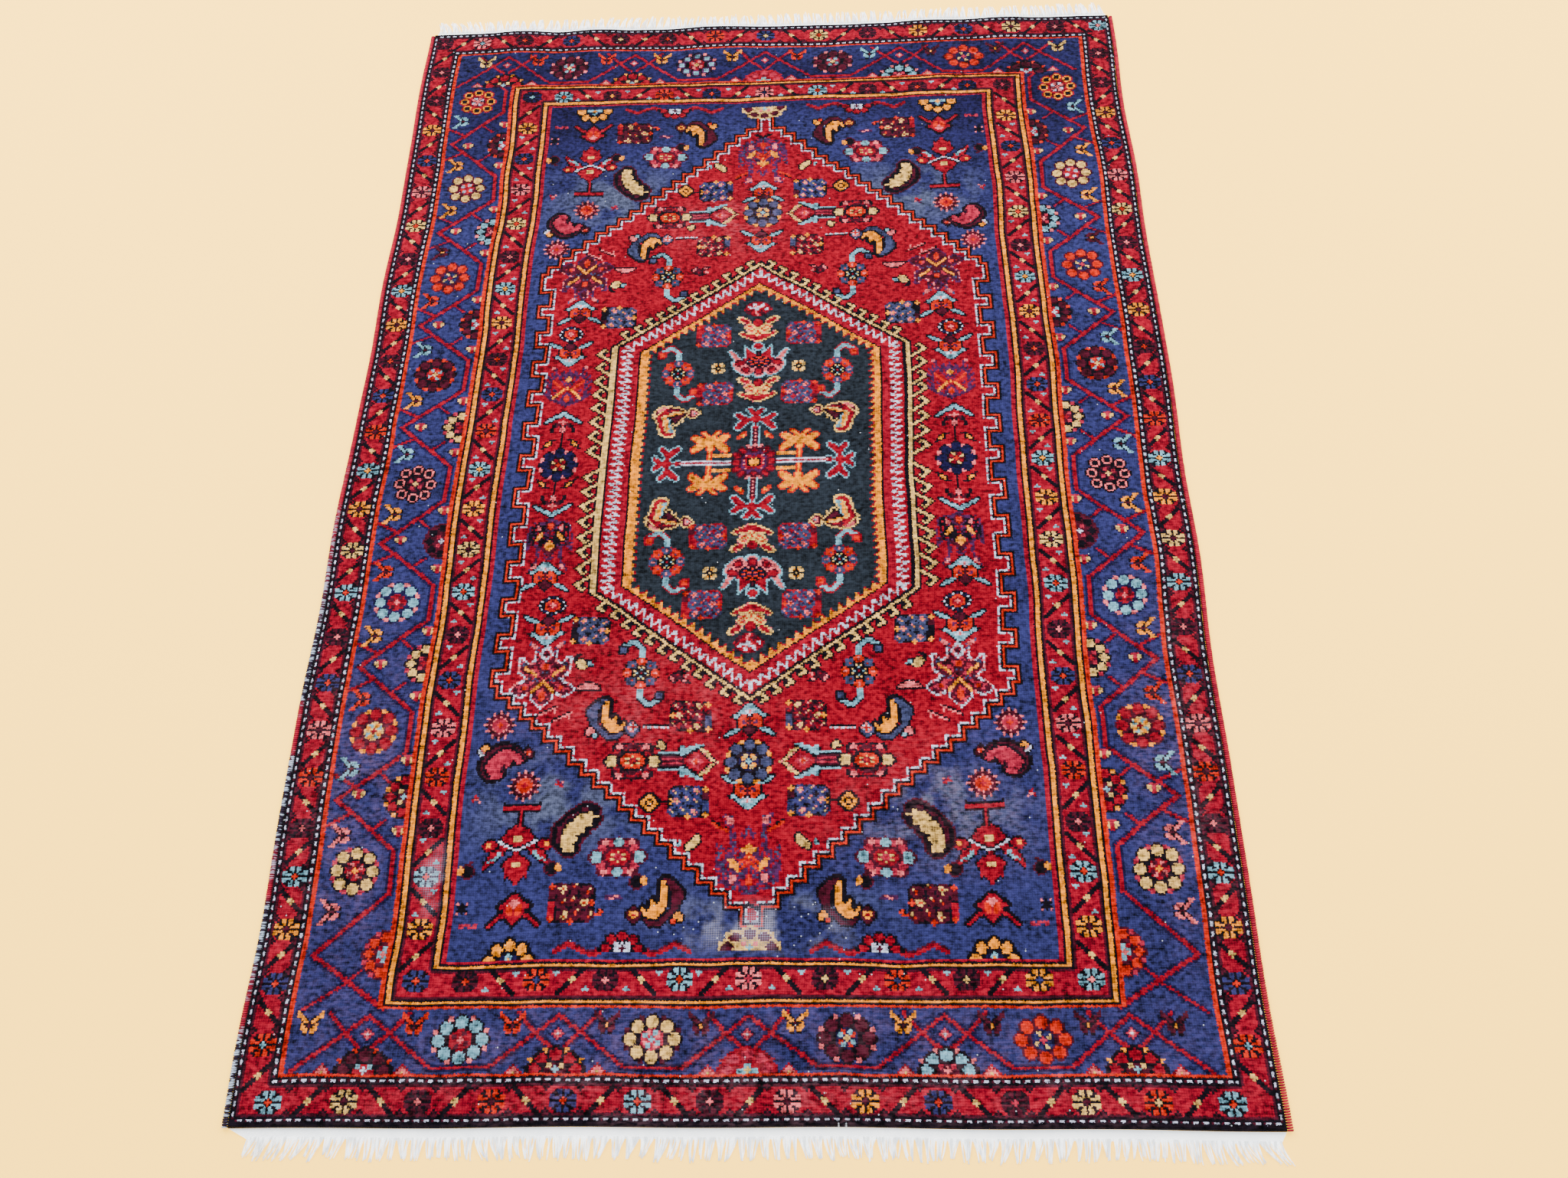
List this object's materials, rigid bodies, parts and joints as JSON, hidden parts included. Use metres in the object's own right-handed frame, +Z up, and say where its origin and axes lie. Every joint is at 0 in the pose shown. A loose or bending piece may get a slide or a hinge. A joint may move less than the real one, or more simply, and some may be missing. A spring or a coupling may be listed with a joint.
{
  "type": "persian rug",
  "caption": "Hand-knotted wool rug that lies flat on the floor, with overcast side edges and a plain-woven cotton strip and short fringe at each end.",
  "frame": {"origin": "on the floor, under the middle of the whole rug with its fringes", "axes": "+X across the rug, +Y along it towards its far, rippled end, +Z up off the floor"},
  "size_m": [1.3272, 2.0764, 0.0144],
  "materials": {
    "pile_wool": "short knotted wool pile in reds, blues, gold and cream",
    "selvedge_wool": "red wool overcasting",
    "warp_cotton": "undyed cotton, plain-woven and left loose at the end"
  },
  "bodies": {
    "root": {"pile": "pile_wool", "selvedge_left": "selvedge_wool", "selvedge_right": "selvedge_wool", "fringe_front": "warp_cotton", "fringe_back": "warp_cotton"}
  },
  "joints": []
}
